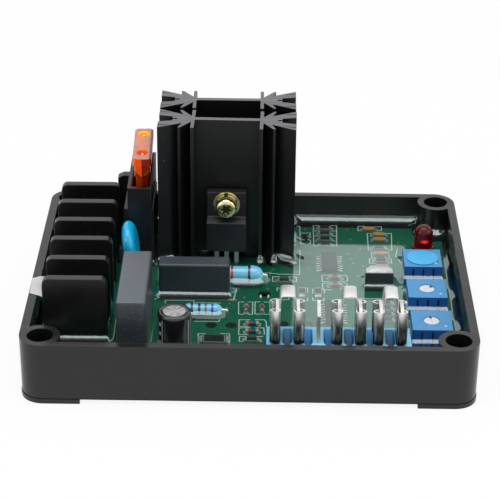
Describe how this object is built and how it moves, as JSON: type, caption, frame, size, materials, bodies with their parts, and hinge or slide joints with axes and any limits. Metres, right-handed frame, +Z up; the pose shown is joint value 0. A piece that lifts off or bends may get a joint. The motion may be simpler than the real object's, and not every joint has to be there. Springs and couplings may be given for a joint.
{
  "type": "automatic voltage regulator",
  "caption": "Potted electronic voltage regulator in a shallow moulded tray, with barrier terminals, a blade fuse, finned heat sinks, linked spade tabs and turnable trimmers.",
  "frame": {"origin": "middle of the tray's footprint, on the plane of its four feet", "axes": "+X along the tray from the barrier terminal block to the trimmers, +Y from the spade tabs to the heat sinks, +Z up out of the open tray"},
  "size_m": [0.106, 0.0826, 0.0452],
  "materials": {
    "tray_moulding": "moulded black plastic with a low sheen",
    "board": "green solder mask",
    "resin": "clear glossy cast resin",
    "block_plastic": "black moulded plastic",
    "terminal_metal": "zinc plated",
    "tin": "bright tinned brass",
    "fuse_orange": "clear orange plastic",
    "anodised": "black anodised extrusion with bare cut ends",
    "package": "black epoxy moulding",
    "yellow_zinc": "yellow passivated zinc",
    "grey_case": "grey moulded case",
    "dark_case": "dark grey moulded case",
    "sleeve": "black shrink sleeve round an aluminium can",
    "disc_coat": "glossy blue epoxy coat",
    "resistor_coat": "pale blue lacquer with colour bands",
    "trimmer_plastic": "blue moulded plastic",
    "dial_plastic": "pale blue moulded plastic",
    "rotor_plastic": "white moulded plastic",
    "lamp_red": "clear red epoxy",
    "base_plastic": "pale blue moulded plastic"
  },
  "bodies": {
    "regulator": {"tray": "tray_moulding", "circuit_board": "board", "potting_resin": "resin", "terminal_block": "block_plastic", "terminal_contact_1": "terminal_metal", "terminal_contact_2": "terminal_metal", "terminal_contact_3": "terminal_metal", "terminal_contact_4": "terminal_metal", "terminal_contact_5": "terminal_metal", "terminal_screw_1": "terminal_metal", "terminal_screw_2": "terminal_metal", "terminal_screw_3": "terminal_metal", "terminal_screw_4": "terminal_metal", "terminal_screw_5": "terminal_metal", "fuse_holder": "block_plastic", "fuse_clip_front": "tin", "fuse_clip_rear": "tin", "fuse_body": "fuse_orange", "fuse_element": "tin", "heat_sink_front": "anodised", "heat_sink_rear": "anodised", "power_transistor": "package", "power_diode": "package", "front_bolt": "yellow_zinc", "front_spring_washer": "yellow_zinc", "front_flat_washer": "yellow_zinc", "rear_bolt": "yellow_zinc", "rear_spring_washer": "yellow_zinc", "rear_flat_washer": "yellow_zinc", "film_capacitor_large": "grey_case", "film_capacitor_small": "dark_case", "electrolytic_capacitor": "sleeve", "varistor": "disc_coat", "resistor_large": "resistor_coat", "resistor_small": "resistor_coat", "trimmer_body_1": "trimmer_plastic", "trimmer_body_2": "trimmer_plastic", "trimmer_body_3": "trimmer_plastic", "indicator_lamp": "lamp_red", "tab_base": "base_plastic", "spade_tab_1": "tin", "spade_tab_2": "tin", "spade_tab_3": "tin", "spade_tab_4": "tin", "spade_tab_5": "tin", "spade_tab_6": "tin", "spade_tab_7": "tin", "tab_link_1": "tin", "tab_link_2": "tin", "tab_link_3": "tin", "logic_chip_rear": "package", "logic_chip_front": "package", "pass_transistor": "package"},
    "rotor_1": {"trimmer_rotor_1": "dial_plastic"},
    "rotor_2": {"trimmer_rotor_2": "rotor_plastic"},
    "rotor_3": {"trimmer_rotor_3": "rotor_plastic"}
  },
  "joints": [
    {"name": "trimmer_1_turn", "type": "hinge", "parent": "regulator", "child": "rotor_1", "pos_m": [0.04319, 0.01175, 0.0116], "axis": [0, 0, 1], "range_deg": [-130, 130]},
    {"name": "trimmer_2_turn", "type": "hinge", "parent": "regulator", "child": "rotor_2", "pos_m": [0.04319, -0.00425, 0.0116], "axis": [0, 0, 1], "range_deg": [-130, 130]},
    {"name": "trimmer_3_turn", "type": "hinge", "parent": "regulator", "child": "rotor_3", "pos_m": [0.04319, -0.02025, 0.0116], "axis": [0, 0, 1], "range_deg": [-130, 130]}
  ]
}
